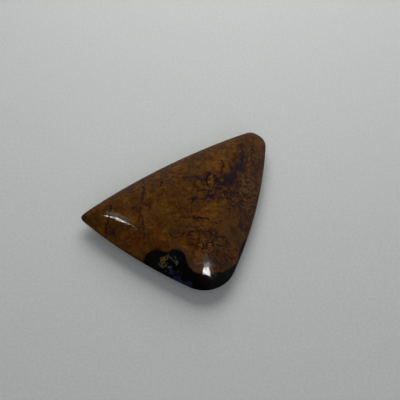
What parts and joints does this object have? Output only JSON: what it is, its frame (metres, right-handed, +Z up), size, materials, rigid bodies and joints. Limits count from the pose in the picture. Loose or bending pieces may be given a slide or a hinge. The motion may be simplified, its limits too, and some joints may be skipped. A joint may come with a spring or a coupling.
{
  "type": "boulder opal",
  "caption": "Polished freeform triangular cabochon of brown ironstone boulder opal, with a low domed top, a steep front flank, an undercut edge and a flat ground base.",
  "frame": {"origin": "centre of the bounding box at the level of the flat base", "axes": "+X towards the right-hand side, +Y away from the viewer's rounded nose, +Z up through the low dome; the pointed tip lies towards -X"},
  "size_m": [0.035, 0.0352, 0.0084],
  "materials": {
    "polished_ironstone": "polished"
  },
  "bodies": {
    "root": {"boulder_opal": "polished_ironstone"}
  },
  "joints": []
}
